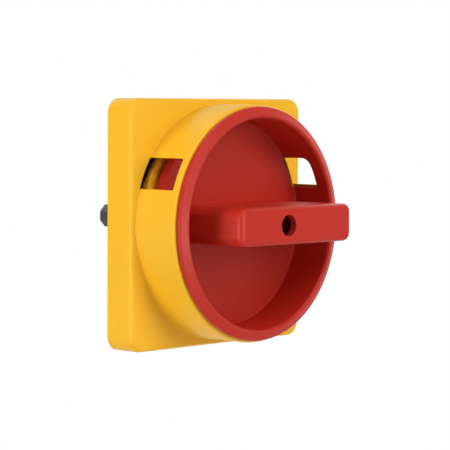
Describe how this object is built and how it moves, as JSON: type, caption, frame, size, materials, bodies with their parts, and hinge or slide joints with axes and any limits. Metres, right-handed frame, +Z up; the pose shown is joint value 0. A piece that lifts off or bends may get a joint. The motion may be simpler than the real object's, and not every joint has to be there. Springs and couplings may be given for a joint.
{
  "type": "rotary isolator switch handle",
  "caption": "Padlockable rotary isolator handle: red dished handle with grip bar turning in a yellow square plate with round collar, drive shaft behind.",
  "frame": {"origin": "on the turning axis, in the plane of the panel door's face that the plate sits on", "axes": "+Z up, front (towards the user) is -Y, +Y points into the door along the shaft, +X to the right seen from the front"},
  "size_m": [0.067, 0.0694, 0.067],
  "materials": {
    "yellow_plastic": "fine moulded plastic, signal yellow",
    "red_plastic": "fine moulded plastic, signal red",
    "black_plastic": "glass filled nylon, black",
    "white_plastic": "natural acetal",
    "steel": "zinc plated or spring steel",
    "brass": "machined brass",
    "rubber": "black rubber"
  },
  "bodies": {
    "housing": {"front_plate": "yellow_plastic", "bearing_bush": "white_plastic", "detent_spring_upper": "steel", "detent_spring_lower": "steel", "mounting_plate": "steel", "clinch_nuts": "steel", "plate_screws": "steel", "plate_gasket": "rubber"},
    "handle": {"rotor": "red_plastic", "stop_pin": "steel", "stem_o_ring": "rubber", "drive_hub": "black_plastic", "hub_insert": "brass", "drive_shaft": "black_plastic", "shaft_pin": "steel", "handle_screw": "steel", "lock_washer": "steel", "flat_washer": "steel", "thrust_washer": "steel", "wave_washer": "steel", "retaining_ring": "steel"}
  },
  "joints": [
    {"name": "handle_turn", "type": "hinge", "parent": "housing", "child": "handle", "pos_m": [0, 0, 0], "axis": [0, 1, 0], "range_deg": [0, 90], "deforming": ["detent_spring_upper", "detent_spring_lower"]}
  ]
}
